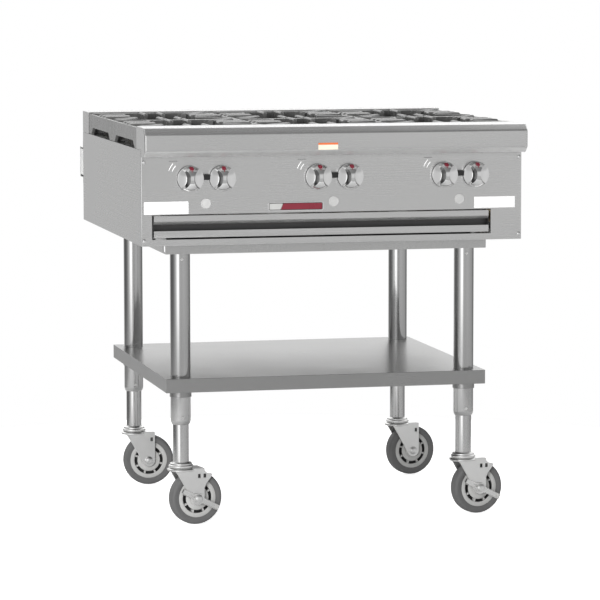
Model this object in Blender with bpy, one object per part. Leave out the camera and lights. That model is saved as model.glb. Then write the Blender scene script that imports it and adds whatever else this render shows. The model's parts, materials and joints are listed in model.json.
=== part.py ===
"""Six-burner restaurant gas cooktop on an open stand with an undershelf and four casters.

Metres. X runs to the right, Y from the front to the back, Z up from the floor. The origin is on the
floor, under the centre of the bounding box. The valve panel, with the knobs, faces -Y.
"""

import math

import bmesh
import bpy
from mathutils import Matrix, Vector

# Overall size.
WIDTH = 0.9144                  # 36 inches
CABINET_DEPTH = 0.8227          # from the face of the valve panel to the back
RAIL_REACH = 0.0515             # landing rail in front of the valve panel
SPACER_REACH = 0.046            # wall spacers behind the cabinet
HALF = WIDTH / 2
FRONT = (RAIL_REACH - CABINET_DEPTH - SPACER_REACH) / 2    # Y of the valve panel's face
BACK = FRONT + CABINET_DEPTH

# Heights above the floor.
CABINET_BOTTOM = 0.672
CABINET_TOP = 0.895
RAIL_TOP = 0.948
STUB_TOP = 0.949
GRATE_TOP = 0.948
KNOB_HEIGHT = 0.828
SHELF_BOTTOM, SHELF_TOP = 0.320, 0.353
STAND_BOTTOM = 0.647

# Sheet metal and fits.
SHEET = 0.0015
GAP = 0.0003                    # between pieces that touch
INNER = HALF - SHEET - GAP      # half width between the side panels
TOP_FLANGE = 0.022
BOTTOM_FLANGE = 0.018

# Cooking sections: three columns, two rows.
COLUMN_PITCH = WIDTH / 3
COLUMNS = (-COLUMN_PITCH, 0.0, COLUMN_PITCH)
RAIL_BACK = FRONT + 0.0583      # rear face of the landing rail
STUB_FRONT = FRONT + 0.7372     # front face of the stub back
ROW_PITCH = (STUB_FRONT - RAIL_BACK) / 2
ROWS = (RAIL_BACK + ROW_PITCH / 2, RAIL_BACK + 1.5 * ROW_PITCH)
KNOB_OFFSET = 0.038             # each knob from its column's centre
KNOB_RADIUS = 0.030

# Crumb tray.
SLOT_LEFT, SLOT_RIGHT = -0.432, 0.382
SLOT_BOTTOM, SLOT_TOP = 0.687, 0.745
TRAY_LEFT, TRAY_RIGHT = -0.4295, 0.3785
TRAY_BOTTOM, TRAY_TOP = 0.6905, 0.742
TRAY_LENGTH = 0.755
TRAY_WALL_DEPTH = 0.030         # the crumb space starts this far behind the pull front

# Gas train.
PIPE_RADIUS = 0.01335           # 3/4 inch pipe
MANIFOLD_DEPTH, MANIFOLD_HEIGHT = 0.036, 0.795
INLET_X, INLET_HEIGHT, INLET_REACH = 0.418, 0.720, 0.030
STEM_RADIUS = 0.003
STEM_REACH = 0.018              # valve stem in front of the panel
MIXER_RADIUS = 0.017

# Stand.
STAND_HALF = 0.3886
STAND_FRONT, STAND_BACK = FRONT + 0.0634, FRONT + 0.787
LEG_X = 0.3463
LEG_FRONT, LEG_BACK = FRONT + 0.1061, FRONT + 0.7322
LEG_RADIUS, LEG_BORE = 0.0238, 0.0222
INSERT_RADIUS = 0.01905
LEG_SIDES = 16
FLANGE_BOTTOM, FLANGE_TOP = 0.138, 0.150

# Casters, with 5 inch wheels.
WHEEL_RADIUS = 0.0635
WHEEL_SIDES = 24
TRAIL = 0.0355                  # swivel axis to axle
FORK_TOP = 0.1365
FORK_INSIDE, FORK_OUTSIDE = 0.0200, 0.0232     # faces of the fork's cheeks from the middle
AXLE_RADIUS = 0.005
LEVER_OUTSIDE = 0.0262
CORNERS = {
    "front_left": (-LEG_X, LEG_FRONT, 10.0),
    "front_right": (LEG_X, LEG_FRONT, 11.0),
    "rear_left": (-LEG_X, LEG_BACK, -5.0),
    "rear_right": (LEG_X, LEG_BACK, 9.0),
}                               # x, y and the angle that the wheel trails at, in degrees


# ---------------------------------------------------------------- tools

def clear_scene():
    for obj in list(bpy.data.objects):
        bpy.data.objects.remove(obj)


def material(name, colour, metallic, roughness):
    made = bpy.data.materials.new(name)
    made.use_nodes = True
    shader = made.node_tree.nodes["Principled BSDF"]
    shader.inputs["Base Color"].default_value = (*colour, 1.0)
    shader.inputs["Metallic"].default_value = metallic
    shader.inputs["Roughness"].default_value = roughness
    return made


def finish_mesh(name, mesh_builder):
    bmesh.ops.recalc_face_normals(mesh_builder, faces=mesh_builder.faces)
    mesh = bpy.data.meshes.new(name)
    mesh_builder.to_mesh(mesh)
    mesh_builder.free()
    obj = bpy.data.objects.new(name, mesh)
    bpy.context.scene.collection.objects.link(obj)
    return obj


def prism(name, outline, axis, low, high):
    """A closed outline, swept straight along an axis.

    The outline's points are (y, z) for axis X, (x, z) for axis Y and (x, y) for axis Z.
    """
    def place(point, along):
        first, second = point
        return {"X": (along, first, second), "Y": (first, along, second), "Z": (first, second, along)}[axis]

    builder = bmesh.new()
    start = [builder.verts.new(place(point, low)) for point in outline]
    end = [builder.verts.new(place(point, high)) for point in outline]
    builder.faces.new(start)
    builder.faces.new(end)
    for index in range(len(outline)):
        following = (index + 1) % len(outline)
        builder.faces.new((start[index], start[following], end[following], end[index]))
    return finish_mesh(name, builder)


def box(name, low, high):
    outline = [(low[0], low[1]), (high[0], low[1]), (high[0], high[1]), (low[0], high[1])]
    return prism(name, outline, "Z", low[2], high[2])


def lathe(name, profile, sides, axis="Z", centre=(0.0, 0.0, 0.0), phase=0.0):
    """A closed profile of (radius, height) points turned about an axis through centre."""
    turn = {"Z": Matrix.Identity(3), "Y": Matrix.Rotation(-math.pi / 2, 3, "X"),
            "X": Matrix.Rotation(math.pi / 2, 3, "Y")}[axis]
    builder = bmesh.new()
    rings = []
    for radius, height in profile:
        if radius == 0.0:
            rings.append([builder.verts.new(Vector(centre) + turn @ Vector((0.0, 0.0, height)))])
            continue
        ring = []
        for side in range(sides):
            angle = 2 * math.pi * side / sides + phase
            point = Vector((radius * math.cos(angle), radius * math.sin(angle), height))
            ring.append(builder.verts.new(Vector(centre) + turn @ point))
        rings.append(ring)
    for index, ring in enumerate(rings):
        other = rings[(index + 1) % len(rings)]
        if len(ring) == 1 and len(other) == 1:
            continue
        for side in range(sides):
            following = (side + 1) % sides
            corners = [ring[side % len(ring)], ring[following % len(ring)],
                       other[following % len(other)], other[side % len(other)]]
            builder.faces.new(list(dict.fromkeys(corners)))
    return finish_mesh(name, builder)


def cylinder(name, axis, centre, radius, low, high, sides=16, phase=0.0):
    """A cylinder along an axis. Centre gives the other two coordinates; low and high are along the axis.

    A phase turns it a little, so that the facets of two tubes that cross don't line up.
    """
    position = {"X": (0.0, *centre), "Y": (centre[0], 0.0, centre[1]), "Z": (*centre, 0.0)}[axis]
    profile = [(0.0, low), (radius, low), (radius, high), (0.0, high)]
    return lathe(name, profile, sides, axis, position, phase)


def bent_sheet(path, thickness=SHEET):
    """Outline of a sheet folded along path, with its thickness to the left of the path."""
    points = [Vector(point) for point in path]
    normals = []
    for start, end in zip(points, points[1:]):
        run = (end - start).normalized()
        normals.append(Vector((-run.y, run.x)))
    offset = []
    for index, point in enumerate(points):
        before = normals[max(index - 1, 0)]
        after = normals[min(index, len(normals) - 1)]
        offset.append(point + (before + after) * thickness / (1 + before.dot(after)))
    return [tuple(point) for point in points] + [tuple(point) for point in reversed(offset)]


def inset_outline(outline, distance):
    """The outline, moved inwards. Its points run anticlockwise."""
    closed = [outline[-1], *outline, outline[0]]
    folded = bent_sheet(closed, distance)
    inner = list(reversed(folded[len(closed):]))
    return inner[1:-1]


def arc(centre, radius, start, end, steps):
    """Points on an arc, with angles in degrees."""
    points = []
    for step in range(steps + 1):
        angle = math.radians(start + (end - start) * step / steps)
        points.append((centre[0] + radius * math.cos(angle), centre[1] + radius * math.sin(angle)))
    return points


def apply(obj, tool, operation):
    modifier = obj.modifiers.new("boolean", "BOOLEAN")
    modifier.operation = operation
    modifier.solver = "EXACT"
    modifier.object = tool
    depsgraph = bpy.context.evaluated_depsgraph_get()
    mesh = bpy.data.meshes.new_from_object(obj.evaluated_get(depsgraph))
    obj.modifiers.clear()
    obj.data = mesh
    bpy.data.objects.remove(tool)


def cut(obj, *tools):
    for tool in tools:
        apply(obj, tool, "DIFFERENCE")
    return obj


def join(obj, *tools):
    for tool in tools:
        apply(obj, tool, "UNION")
    return obj


def dress(obj, surface, smooth=False):
    obj.data.materials.clear()
    obj.data.materials.append(surface)
    if smooth:
        obj.data.shade_smooth()
        obj.data.set_sharp_from_angle(angle=math.radians(35))
    return obj


def copy_to(obj, name, location, turn=0.0):
    """Another object with the same mesh."""
    copy = bpy.data.objects.new(name, obj.data)
    bpy.context.scene.collection.objects.link(copy)
    copy.location = location
    copy.rotation_euler = (0.0, 0.0, turn)
    return copy


# ---------------------------------------------------------------- cabinet

def side_panels(steel):
    for name, side in (("left_side_panel", -1), ("right_side_panel", 1)):
        path = [(HALF - BOTTOM_FLANGE, CABINET_BOTTOM), (HALF, CABINET_BOTTOM),
                (HALF, CABINET_TOP), (HALF - TOP_FLANGE, CABINET_TOP)]
        outline = [(side * x, z) for x, z in bent_sheet(path)]
        dress(prism(name, outline, "Y", FRONT + SHEET + GAP, BACK - SHEET - GAP), steel)


def valve_panel(steel):
    path = [(FRONT + 0.015, CABINET_TOP - GAP), (FRONT, CABINET_TOP - GAP),
            (FRONT, CABINET_BOTTOM), (FRONT + 0.018, CABINET_BOTTOM)]
    panel = prism("valve_panel", bent_sheet(path), "X", -HALF, HALF)
    for side in (-1, 1):
        ends = sorted((side * (HALF - 0.024), side * (HALF + 0.01)))
        cut(panel, box("notch", (ends[0], FRONT + SHEET, 0.60), (ends[1], FRONT + 0.03, 0.95)))
    cut(panel, box("slot", (SLOT_LEFT, FRONT - 0.01, SLOT_BOTTOM), (SLOT_RIGHT, FRONT + 0.01, SLOT_TOP)))
    for column in COLUMNS:
        for side in (-1, 1):
            centre = (column + side * KNOB_OFFSET, KNOB_HEIGHT)
            cut(panel, cylinder("hole", "Y", centre, 0.006, FRONT - 0.01, FRONT + 0.01, 12))
    dress(panel, steel)


def rear_panel(steel):
    panel = box("rear_panel", (-HALF, BACK - SHEET, CABINET_BOTTOM), (HALF, BACK, CABINET_TOP))
    hole = cylinder("hole", "Y", (INLET_X, INLET_HEIGHT), PIPE_RADIUS + 0.0015, BACK - 0.01, BACK + 0.01)
    dress(cut(panel, hole), steel)


def bottom_pan(steel):
    low = CABINET_BOTTOM + SHEET + GAP
    runner = TRAY_BOTTOM - GAP - SHEET
    path = [(-INNER, 0.700), (-INNER, low)]
    for left in (-0.420, 0.340):
        path += [(left, low), (left, runner), (left + 0.024, runner), (left + 0.024, low)]
    path += [(INNER, low), (INNER, 0.700)]
    dress(prism("bottom_pan", bent_sheet(path), "Y", FRONT + 0.020, BACK - SHEET - GAP), steel)


def front_rail(steel):
    foot = CABINET_TOP + GAP
    outline = [(RAIL_BACK, foot), (RAIL_BACK, RAIL_TOP), (FRONT - 0.0333, RAIL_TOP),
               (FRONT - RAIL_REACH, 0.933), (FRONT - RAIL_REACH, 0.892), (FRONT - 0.0345, 0.880),
               (FRONT - GAP, 0.880), (FRONT - GAP, foot)]
    rail = prism("front_rail", outline, "X", -HALF, HALF)
    hollow = inset_outline(outline, SHEET)
    cut(rail, prism("hollow", hollow, "X", SHEET - HALF, HALF - SHEET))
    cut(rail, box("mouth", (-HALF + 0.03, FRONT + 0.004, 0.890), (HALF - 0.03, FRONT + 0.045, 0.899)))
    dress(rail, steel)


def stub_back(steel):
    stub = box("stub_back", (-HALF, STUB_FRONT, CABINET_TOP + GAP), (HALF, BACK, STUB_TOP))
    low = (-HALF + SHEET, STUB_FRONT + SHEET, CABINET_TOP - 0.01)
    high = (HALF - SHEET, BACK - SHEET, STUB_TOP - SHEET)
    dress(cut(stub, box("hollow", low, high)), steel)


def rear_spacers(steel):
    """Two brackets that hold the cabinet off the wall."""
    near, far = BACK + GAP, BACK + SPACER_REACH - 0.002
    top, bottom = 0.854, 0.781
    path = [(near, top + 0.018), (near, top), (far, top), (far, bottom), (near, bottom),
            (near, bottom - 0.018)]
    outline = bent_sheet(path, 0.002)
    for name, left in (("rear_spacer_left", -HALF), ("rear_spacer_right", HALF - 0.036)):
        dress(prism(name, outline, "X", left, left + 0.036), steel)


def nameplate(chrome):
    left, right, low, high, radius = -0.158, -0.025, 0.749, 0.770, 0.004
    outline = []
    corners = (((right - radius, low + radius), -90), ((right - radius, high - radius), 0),
               ((left + radius, high - radius), 90), ((left + radius, low + radius), 180))
    for centre, start in corners:
        outline += arc(centre, radius, start, start + 90, 3)
    dress(prism("nameplate", outline, "Y", FRONT - GAP - 0.003, FRONT - GAP), chrome)


def crumb_tray(steel):
    """A shallow tray with a folded pull: a lower lip, a finger recess and an undercut hood."""
    tray = box("crumb_tray", (TRAY_LEFT, FRONT, TRAY_BOTTOM), (TRAY_RIGHT, FRONT + TRAY_LENGTH, TRAY_TOP))
    low = (TRAY_LEFT + SHEET, FRONT + TRAY_WALL_DEPTH, TRAY_BOTTOM + SHEET)
    high = (TRAY_RIGHT - SHEET, FRONT + TRAY_LENGTH - SHEET, TRAY_TOP + 0.01)
    cut(tray, box("crumbs", low, high))
    inside = TRAY_WALL_DEPTH - SHEET
    pull = [(-0.010, 0.7290), (0.0, 0.7290), (0.0080, 0.7213), (0.0096, 0.7225), (SHEET, 0.7300),
            (SHEET, TRAY_TOP - SHEET), (inside, TRAY_TOP - SHEET), (inside, TRAY_BOTTOM + SHEET),
            (SHEET, TRAY_BOTTOM + SHEET), (SHEET, 0.7070), (-0.010, 0.7070)]
    outline = [(FRONT + depth, height) for depth, height in pull]
    cut(tray, prism("pull", outline, "X", TRAY_LEFT + SHEET, TRAY_RIGHT - SHEET))
    dress(tray, steel)


def burner_grid(steel):
    """Two dividers between the columns and two cross bars: they carry the grates and the burners."""
    front, back = RAIL_BACK + 0.004, STUB_FRONT - 0.004
    top, bottom = CABINET_TOP, 0.766
    half_web, half_flange = 0.0015, 0.012
    outline = [(-half_web, bottom), (half_web, bottom), (half_web, top - 0.002), (half_flange, top - 0.002),
               (half_flange, top), (-half_flange, top), (-half_flange, top - 0.002), (-half_web, top - 0.002)]
    dividers = []
    for side in (-1, 1):
        shifted = [(x + side * COLUMN_PITCH / 2, z) for x, z in outline]
        dividers.append(prism("burner_grid", shifted, "Y", front, back))
    grid = dividers[0]
    rest = KNOB_HEIGHT - MIXER_RADIUS - GAP
    for depth in (0.170, 0.500):
        path = [(FRONT + depth, bottom + 0.004), (FRONT + depth, rest), (FRONT + depth - 0.014, rest)]
        join(grid, prism("bar", bent_sheet(path, 0.003), "X", -INNER, INNER))
    join(grid, dividers[1])
    dress(grid, steel)


# ---------------------------------------------------------------- gas train

def gas_manifold(brass):
    """The pipe behind the valve panel, its run to the rear inlet, and the six valves screwed into it."""
    front = FRONT + MANIFOLD_DEPTH
    inlet = (INLET_X, INLET_HEIGHT)
    pipe = cylinder("gas_manifold", "X", (front, MANIFOLD_HEIGHT), PIPE_RADIUS, -0.385, INLET_X + 0.012, 12)
    join(pipe, cylinder("drop", "Z", (INLET_X, front), PIPE_RADIUS, INLET_HEIGHT - 0.012,
                        MANIFOLD_HEIGHT + 0.008, 12))
    join(pipe, cylinder("run", "Y", inlet, PIPE_RADIUS - 0.0002, front - 0.011, BACK + INLET_REACH, 12))
    for column in COLUMNS:
        for side in (-1, 1):
            x = column + side * KNOB_OFFSET
            centre = (x, KNOB_HEIGHT)
            join(pipe, cylinder("neck", "Z", (x, front), 0.0085, MANIFOLD_HEIGHT + 0.004,
                                KNOB_HEIGHT - 0.003, 8))
            join(pipe, cylinder("body", "Y", centre, 0.0115, FRONT + 0.012, FRONT + 0.046, 8))
            join(pipe, cylinder("orifice", "Y", centre, 0.0065, FRONT + 0.040, FRONT + 0.057, 6))
            join(pipe, cylinder("stem", "Y", centre, STEM_RADIUS, FRONT - STEM_REACH, FRONT + 0.015, 6))
    cut(pipe, cylinder("bore", "Y", inlet, 0.0105, FRONT + 0.10, BACK + 0.05, 12))
    dress(pipe, brass, smooth=True)


def burners(iron):
    """A round cast head on a mixing tube whose open mouth faces its valve's orifice."""
    head_profile = [(0.0, 0.862), (0.036, 0.862), (0.059, 0.889), (0.060, 0.904), (0.052, 0.912),
                    (0.0, 0.907)]
    for row_name, row, side in (("front", ROWS[0], 1), ("rear", ROWS[1], -1)):
        for column_name, column in zip(("left", "centre", "right"), COLUMNS):
            x = column + side * KNOB_OFFSET
            head = lathe(f"burner_{row_name}_{column_name}", head_profile, 16, "Z", (column, row, 0.0))
            mouth = [(0.0, 0.062), (0.025, 0.062), (0.025, 0.068), (0.0160, 0.087), (0.0, 0.087)]
            tube = cylinder("tube", "Y", (x, KNOB_HEIGHT), MIXER_RADIUS, FRONT + 0.070, row + 0.014, 8, 0.21)
            join(tube, lathe("mouth", mouth, 8, "Y", (x, FRONT, KNOB_HEIGHT)))
            foot = (column + side * 0.030, row)
            join(tube, cylinder("riser", "Z", foot, 0.018, KNOB_HEIGHT - 0.004, 0.872, 8, 0.13))
            join(head, tube)
            bore = cylinder("bore", "Y", (x, KNOB_HEIGHT), 0.0125, FRONT + 0.050, row - 0.003, 8, 0.34)
            dress(cut(head, bore), iron, smooth=True)


def knobs(chrome):
    """A domed knob with a grip blade, and a blind hole that the valve stem enters."""
    profile = [(0.0, 0.006), (KNOB_RADIUS, 0.006), (KNOB_RADIUS, 0.014), (0.0270, 0.0205), (0.018, 0.0255),
               (0.0, 0.0275)]
    knob = lathe("pattern", [(radius, -height) for radius, height in profile], 16, "Y")
    blade = [(-0.0055, -0.012), (0.0055, -0.012), (0.0040, -0.037), (0.0022, -0.039), (-0.0022, -0.039),
             (-0.0040, -0.037)]
    join(knob, prism("blade", blade, "Z", -0.0262, 0.0262))
    cut(knob, cylinder("hole", "Y", (0.0, 0.0), 0.0036, -0.020, 0.0, 12))
    dress(knob, chrome, smooth=True)
    for column_name, column in zip(("left", "centre", "right"), COLUMNS):
        for row_name, side in (("rear", -1), ("front", 1)):
            place = (column + side * KNOB_OFFSET, FRONT, KNOB_HEIGHT)
            copy_to(knob, f"knob_{row_name}_{column_name}", place)
    bpy.data.objects.remove(knob)


# ---------------------------------------------------------------- grates

def finger(width, start, end, along, across, heights):
    """One bar of a grate, from the rim at start towards the middle at end, deeper at its root.

    Along is the direction that it runs in, as a unit vector; across is its distance from the centre line.
    """
    root_low, tip_low, top = heights
    run = Vector(along)
    side = Vector((-run.y, run.x))
    profile = [(start, root_low), (start, top), (end, top), (end, tip_low)]
    builder = bmesh.new()
    loops = []
    for edge in (across - width / 2, across + width / 2):
        loops.append([builder.verts.new((*(run * distance + side * edge), height))
                      for distance, height in profile])
    for loop in loops:
        builder.faces.new(loop)
    count = len(profile)
    for index in range(count):
        following = (index + 1) % count
        builder.faces.new((loops[0][index], loops[0][following], loops[1][following], loops[1][index]))
    return finish_mesh("finger", builder)


def grates(iron):
    """A cast grate: a rim with a low opening in each side, and bars that leave the middle open."""
    half_x, half_y = COLUMN_PITCH / 2 - 0.0015, ROW_PITCH / 2 - 0.001
    wall, rim_top = 0.008, GRATE_TOP - 0.007
    foot = CABINET_TOP + GAP
    grate = box("pattern", (-half_x, -half_y, foot), (half_x, half_y, rim_top))
    cut(grate, box("middle", (wall - half_x, wall - half_y, 0.8), (half_x - wall, half_y - wall, 1.0)))
    for axis, half in (("X", half_y), ("Y", half_x)):
        opening = [(0.032 - half, foot - 0.01), (half - 0.032, foot - 0.01), (half - 0.055, foot + 0.0165),
                   (0.055 - half, foot + 0.0165)]
        cut(grate, prism("opening", opening, axis, -0.3, 0.3))
    heights = (0.916, 0.928, GRATE_TOP)
    for side in (-1, 1):
        for across in (-0.022, 0.022):
            join(grate, finger(0.011, half_y, 0.080, (0, side), across, heights))
        for across, reach in ((-0.040, 0.080), (0.0, 0.074), (0.040, 0.080)):
            join(grate, finger(0.028, half_x, reach, (side, 0), across, heights))
        for other in (-1, 1):
            corner = Vector((side * (half_x - 0.004), other * (half_y - 0.004)))
            join(grate, finger(0.014, corner.length - 0.004, 0.112, corner.normalized(), 0.0, heights))
    dress(grate, iron)
    for row_name, row in zip(("front", "rear"), ROWS):
        for column_name, column in zip(("left", "centre", "right"), COLUMNS):
            copy_to(grate, f"grate_{row_name}_{column_name}", (column, row, 0.0))
    bpy.data.objects.remove(grate)


# ---------------------------------------------------------------- stand

def stand_frame(steel):
    top = CABINET_BOTTOM - GAP
    wall, ledge = 0.002, 0.050
    frame = box("stand_frame", (-STAND_HALF, STAND_FRONT, STAND_BOTTOM), (STAND_HALF, STAND_BACK, top))
    cut(frame, box("channel", (wall - STAND_HALF, STAND_FRONT + wall, STAND_BOTTOM - 0.01),
                   (STAND_HALF - wall, STAND_BACK - wall, top - wall)))
    cut(frame, box("middle", (ledge - STAND_HALF, STAND_FRONT + ledge, 0.6),
                   (STAND_HALF - ledge, STAND_BACK - ledge, 0.7)))
    notch_low = (-STAND_HALF - 0.01, STAND_FRONT + 0.006, STAND_BOTTOM + 0.004)
    notch_high = (STAND_HALF + 0.01, STAND_FRONT + 0.034, top - 0.004)
    cut(frame, box("notch", notch_low, notch_high))
    for x, y, _ in CORNERS.values():
        join(frame, cylinder("plug", "Z", (x, y), LEG_BORE - GAP, 0.625, top - 0.0005, LEG_SIDES))
    dress(frame, steel)


def undershelf(steel):
    """A pan with its edges turned down, and a collar round each leg."""
    shelf = box("undershelf", (-STAND_HALF, STAND_FRONT, SHELF_BOTTOM), (STAND_HALF, STAND_BACK, SHELF_TOP))
    cut(shelf, box("below", (SHEET - STAND_HALF, STAND_FRONT + SHEET, SHELF_BOTTOM - 0.01),
                   (STAND_HALF - SHEET, STAND_BACK - SHEET, SHELF_TOP - SHEET)))
    for x, y, _ in CORNERS.values():
        collar = cylinder("collar", "Z", (x, y), LEG_RADIUS + 0.0024, 0.306, SHELF_TOP - 0.0005, LEG_SIDES)
        join(shelf, collar)
    for x, y, _ in CORNERS.values():
        cut(shelf, cylinder("leg_hole", "Z", (x, y), LEG_RADIUS + GAP, 0.28, 0.40, LEG_SIDES))
    dress(shelf, steel)


def legs(steel, zinc):
    """Polished tubes, drawn in at the lower end around inserts that end in the caster's flange."""
    top = CABINET_BOTTOM - GAP - 0.002 - GAP
    tube = [(LEG_RADIUS, top), (LEG_RADIUS, 0.2485), (0.0213, 0.2405), (INSERT_RADIUS + 0.0005, 0.2405),
            (INSERT_RADIUS + 0.0005, 0.2470), (LEG_BORE, 0.2520), (LEG_BORE, top)]
    insert = [(0.0, 0.1305), (0.006, 0.1305), (0.006, FLANGE_BOTTOM), (0.0293, FLANGE_BOTTOM),
              (0.0293, FLANGE_TOP), (INSERT_RADIUS, FLANGE_TOP), (INSERT_RADIUS, 0.365), (0.0165, 0.365),
              (0.0165, 0.158), (0.0, 0.158)]
    for name, (x, y, _) in CORNERS.items():
        dress(lathe(f"leg_{name}", tube, LEG_SIDES, "Z", (x, y, 0.0)), steel, smooth=True)
        dress(lathe(f"leg_insert_{name}", insert, LEG_SIDES, "Z", (x, y, 0.0)), zinc, smooth=True)


# ---------------------------------------------------------------- casters

def cheek(name, near, far, with_ear):
    """One cheek of the fork, from the top down to the axle. An ear for the brake stands out behind it."""
    axle = (TRAIL, WHEEL_RADIUS)
    outline = [(-0.024, FORK_TOP - 0.001)]
    outline += arc(axle, 0.0155, 205, 360, 6)
    if with_ear:
        outline += [(TRAIL + 0.0180, 0.096), (TRAIL + 0.0350, 0.118), (TRAIL + 0.0320, 0.1225)]
    outline.append((TRAIL + 0.0155, FORK_TOP - 0.001))
    plate = prism(name, outline, "Y", near, far)
    slots = [TRAIL - 0.001, TRAIL + 0.013] if with_ear else [TRAIL + 0.004]
    for slot in slots:
        cut(plate, box("slot", (slot, near - 0.01, 0.113), (slot + 0.0065, far + 0.01, 0.122)))
    return plate


def fork_pattern(with_brake):
    """A pressed fork with its swivel axis on Z and the wheel trailing towards +X."""
    top = cylinder("pattern", "Z", (0.0, 0.0), 0.0330, 0.1300, FORK_TOP, 16)
    join(top, box("roof", (0.0, -FORK_OUTSIDE + 0.0004, 0.1302),
                  (TRAIL + 0.0150, FORK_OUTSIDE - 0.0004, FORK_TOP - 0.0005)))
    join(top, cheek("cheek", -FORK_OUTSIDE, -FORK_INSIDE, with_brake))
    join(top, cheek("cheek", FORK_INSIDE, FORK_OUTSIDE, False))
    cut(top, cylinder("kingpin_hole", "Z", (0.0, 0.0), 0.0068, 0.12, 0.15, LEG_SIDES))
    cut(top, cylinder("axle_hole", "Y", (TRAIL, WHEEL_RADIUS), AXLE_RADIUS + 0.0003, -0.04, 0.04, 12))
    return top


def lever_pattern():
    """The brake's rocker, on the axle outside the near cheek, with a foot tab bent out at each end."""
    inside = FORK_OUTSIDE + GAP
    slope = math.radians(-27)
    boss_below = arc((0.0, 0.0), 0.0125, 215, 325, 4)
    boss_above = arc((0.0, 0.0), 0.0125, 35, 145, 4)
    bar = [(-0.046, -0.005), (-0.012, -0.0062), *boss_below, (0.014, -0.0065), (0.050, -0.0065),
           (0.052, 0.0), (0.050, 0.0065), (0.014, 0.0065), *boss_above, (-0.012, 0.0062), (-0.046, 0.005)]
    lever = prism("pattern", bar, "Y", -LEVER_OUTSIDE, -inside)
    join(lever, box("toe", (0.0495, -LEVER_OUTSIDE - 0.009, -0.0065), (0.0520, -inside, 0.0065)))
    join(lever, box("heel", (-0.0460, -LEVER_OUTSIDE - 0.006, -0.005), (-0.0438, -inside, 0.005)))
    cut(lever, cylinder("hole", "Y", (0.0, 0.0), AXLE_RADIUS + 0.0003, -0.05, 0.0, 12))
    lever.data.transform(Matrix.Rotation(-slope, 4, "Y"))
    return lever


def axle_profile(head_start):
    """The axle bolt's half outline from its nut to its domed head, as (radius, distance along the axle)."""
    nut = FORK_OUTSIDE + GAP
    return [(0.0, nut + 0.0055), (0.0085, nut + 0.0055), (0.0085, nut), (AXLE_RADIUS, nut),
            (AXLE_RADIUS, -head_start), (0.0090, -head_start), (0.0075, -head_start - 0.0040),
            (0.0, -head_start - 0.0055)]


def wheel_patterns():
    core_profile = [(0.0056, -0.0190), (0.0180, -0.0190), (0.0285, -0.0140), (0.0295, -0.0050),
                    (0.0355, -0.0050), (0.0365, -0.0145), (0.0465, -0.0145)]
    core_profile += [(radius, -depth) for radius, depth in reversed(core_profile)]
    rim = WHEEL_RADIUS / math.cos(math.pi / WHEEL_SIDES)      # flats, not corners, touch the floor
    tyre_profile = [(0.0470, -0.0148), (0.0570, -0.0160), (0.0618, -0.0135), (rim, -0.0075)]
    tyre_profile += [(radius, -depth) for radius, depth in reversed(tyre_profile)]
    phase = math.pi / WHEEL_SIDES + math.pi / 2
    core = lathe("core", core_profile, 16, "Y")
    tyre = lathe("tyre", tyre_profile, WHEEL_SIDES, "Y", phase=phase)
    return core, tyre


def casters(zinc, core_grey, rubber):
    core, tyre = wheel_patterns()
    dress(core, core_grey, smooth=True)
    dress(tyre, rubber, smooth=True)
    forks = {True: dress(fork_pattern(True), zinc), False: dress(fork_pattern(False), zinc)}
    lever = dress(lever_pattern(), zinc)
    bolts = {True: lathe("bolt", axle_profile(LEVER_OUTSIDE + GAP), 12, "Y"),
             False: lathe("bolt", axle_profile(FORK_OUTSIDE + GAP), 12, "Y")}
    for bolt in bolts.values():
        dress(bolt, zinc, smooth=True)
    for name, (x, y, trail_angle) in CORNERS.items():
        braked = name.startswith("front")
        turn = math.radians(trail_angle)
        axle = (x + TRAIL * math.cos(turn), y + TRAIL * math.sin(turn), WHEEL_RADIUS)
        copy_to(forks[braked], f"caster_fork_{name}", (x, y, 0.0), turn)
        copy_to(bolts[braked], f"axle_bolt_{name}", axle, turn)
        copy_to(core, f"wheel_core_{name}", axle, turn)
        copy_to(tyre, f"tyre_{name}", axle, turn)
        if braked:
            copy_to(lever, f"brake_lever_{name}", axle, turn)
    for pattern in (core, tyre, lever, *forks.values(), *bolts.values()):
        bpy.data.objects.remove(pattern)


def main():
    clear_scene()
    brushed = material("brushed_stainless", (0.62, 0.62, 0.61), 1.0, 0.32)
    polished = material("polished_stainless", (0.70, 0.70, 0.69), 1.0, 0.14)
    chrome = material("chrome", (0.82, 0.82, 0.82), 1.0, 0.06)
    iron = material("cast_iron", (0.16, 0.16, 0.16), 0.6, 0.55)
    brass = material("brass", (0.62, 0.50, 0.26), 1.0, 0.35)
    zinc = material("zinc_plate", (0.66, 0.66, 0.65), 1.0, 0.30)
    core_grey = material("wheel_core_grey", (0.48, 0.48, 0.48), 0.0, 0.45)
    rubber = material("grey_tyre", (0.16, 0.16, 0.16), 0.0, 0.60)

    side_panels(brushed)
    valve_panel(brushed)
    rear_panel(brushed)
    bottom_pan(brushed)
    front_rail(brushed)
    stub_back(brushed)
    rear_spacers(brushed)
    nameplate(chrome)
    crumb_tray(brushed)
    burner_grid(brushed)
    gas_manifold(brass)
    burners(iron)
    knobs(chrome)
    grates(iron)
    stand_frame(brushed)
    undershelf(brushed)
    legs(polished, zinc)
    casters(zinc, core_grey, rubber)


main()
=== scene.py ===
"""Looks of a six-burner restaurant gas cooktop on a stand: finishes, fine round pieces and small trim.

Everything is in metres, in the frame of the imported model: X right, Y from front to back, Z up.
"""

import json
import math

import bmesh
import bpy
from mathutils import Matrix, Vector


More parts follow.
